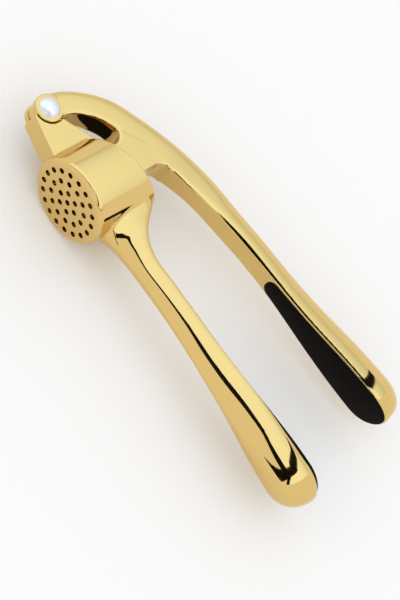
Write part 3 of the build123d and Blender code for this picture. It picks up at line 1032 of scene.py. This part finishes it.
# Front edge of the softbox: places along the press, with the middle of the black cloth and half its width
SOFTBOX_EDGE = (
    (-450, -190, 20),
    (-150, -120, 15),
    (0, -50, 12),
    (43, -26, 10),
    (57, -13, 12),
    (66, -7, 14),
    (75, -8, 16),
    (86, -20, 18),
    (100, -36, 24),
    (110, -46, 30),
    (120, -56, 34),
    (132, -66, 38),
    (170, -130, 42),
    (200, -170, 44),
)
SOFTBOX_HEIGHT = 150.0
SOFTBOX_BACK = 320.0
SOFTBOX_LIGHT = (1.27, 1.45, 1.67)
SOFTBOX_FULL_TO = 70.0
SOFTBOX_FAR_SHARE = 0.55
BLACK_CLOTH = "161616"

# Black strip over the upper handle, given as the softbox's edge is
STRIP = (
    (34, 43, 0.5),
    (42, 46, 6),
    (50, 49.5, 9),
    (70, 54.5, 8),
    (90, 57.5, 8),
    (108, 59.5, 8),
    (122, 61.5, 8),
)
STRIP_HEIGHT = 40.0
STRIP_OPENS_AT = 0.134

# Corners of the black bar over the handle tips, in two halves, and of the black card under the arch, which is
# painted shade
BAR_NEAR_HALF = (
    (131, -280),
    (133, -150),
    (133, -60),
    (133, 12),
    (126, 12),
    (123, -60),
    (116, -130),
    (104, -190),
    (104, -215),
)
BAR_FAR_HALF = ((133, 12), (128, 60), (113, 210), (107, 210), (121, 60), (126, 12))
BAR_HEIGHT = 80.0
BAR_OPENS_AT = 0.54
# Painted shade: a black card on the floor under the arch, seen only in reflections, stands in for the shade
# that falls on the floor there
SHADE_CARD = ((-14, 20), (4, 20), (4, 46), (-8, 46))
SHADE_CARD_HEIGHT = -17.7


def at_height(corners, height):
    """Flat corners set at a height."""
    return [(x, y, height) for x, y in corners]


def band(path, height):
    """Corners of a band, from places along the press with its middle and half its width."""
    near = [(x, y - half) for x, y, half in path]
    far = [(x, y + half) for x, y, half in reversed(path)]
    return at_height(near + far, height)


def make_panels():
    """A wide softbox with a black cloth along its front edge, black panels over the handles, and a black card
    under the arch that is painted shade: it puts the shade of the floor there into the reflections.
    """
    cloth = glow("softbox_cloth", SOFTBOX_LIGHT)
    black = glow("black_cloth", linear(BLACK_CLOTH)[:3])
    fade(cloth, SOFTBOX_FULL_TO, SOFTBOX_BACK, SOFTBOX_FAR_SHARE)
    low, high = SOFTBOX_EDGE[0][0], SOFTBOX_EDGE[-1][0]
    front = [(x, y) for x, y, _ in SOFTBOX_EDGE]
    softbox = [*front, (high, SOFTBOX_BACK), (low, SOFTBOX_BACK)]
    make_panel("softbox", cloth, at_height(softbox, SOFTBOX_HEIGHT))
    make_panel("softbox_front_edge", black, band(SOFTBOX_EDGE, SOFTBOX_HEIGHT - 1))
    make_panel("black_bar_near_half", black, at_height(BAR_NEAR_HALF, BAR_HEIGHT))
    bar_slats = louvre("black_louvre", black, BAR_OPENS_AT)
    make_panel("black_bar_far_half", bar_slats, at_height(BAR_FAR_HALF, BAR_HEIGHT))
    make_panel("black_strip", louvre("black_deep_louvre", black, STRIP_OPENS_AT), band(STRIP, STRIP_HEIGHT))
    # Painted shade: polished surfaces show this card as the shaded floor under the arch
    make_panel("painted_shade_card", black, at_height(SHADE_CARD, SHADE_CARD_HEIGHT))


# Camera: its place in millimetres, the directions of its right and its up, and its lens
CAMERA_PLACE = (83.2, -415.4, 629.8)
CAMERA_RIGHT = (0.54699, 0.69560, 0.46577)
CAMERA_UP = (-0.83647, 0.43189, 0.33733)
CAMERA_LENS = 120.65


def make_camera(scene):
    """A long lens over the press, turned so that the hinge is at the upper left."""
    camera = bpy.data.cameras.new("camera")
    camera.lens = CAMERA_LENS
    camera.sensor_width = 36
    holder = bpy.data.objects.new("camera", camera)
    scene.collection.objects.link(holder)
    right, up = Vector(CAMERA_RIGHT), Vector(CAMERA_UP)
    turn = Matrix((right, up, right.cross(up))).transposed().to_4x4()
    holder.matrix_world = Matrix.Translation(ORIGIN + Vector(CAMERA_PLACE) * MM) @ turn
    scene.camera = holder


class PRESS_PT_panel(bpy.types.Panel):
    """Lists the pieces of the press in the sidebar."""

    bl_label = "Garlic press"
    bl_idname = "PRESS_PT_panel"
    bl_space_type = "VIEW_3D"
    bl_region_type = "UI"
    bl_category = "Garlic press"

    def draw(self, context):
        for group in (context.scene.press_sizes, context.scene.press_colours):
            for name in group.bl_rna.properties.keys():
                if name not in ("rna_type", "name"):
                    self.layout.prop(group, name)
        for operator in OPERATORS:
            self.layout.operator(operator.bl_idname)


OPERATORS = (PRESS_OT_lower_casting, PRESS_OT_upper_casting, PRESS_OT_small_parts, PRESS_OT_stage)
CLASSES = (PressSizes, PressColours, *OPERATORS, PRESS_PT_panel)


def register():
    for cls in CLASSES:
        bpy.utils.register_class(cls)
    bpy.types.Scene.press_sizes = bpy.props.PointerProperty(type=PressSizes)
    bpy.types.Scene.press_colours = bpy.props.PointerProperty(type=PressColours)


def unregister():
    del bpy.types.Scene.press_colours
    del bpy.types.Scene.press_sizes
    for cls in reversed(CLASSES):
        bpy.utils.unregister_class(cls)


def main():
    """Build every piece and the stage."""
    register()
    bpy.ops.press.stage()
    bpy.ops.press.lower_casting()
    bpy.ops.press.upper_casting()
    bpy.ops.press.small_parts()


if __name__ == "__main__":
    main()
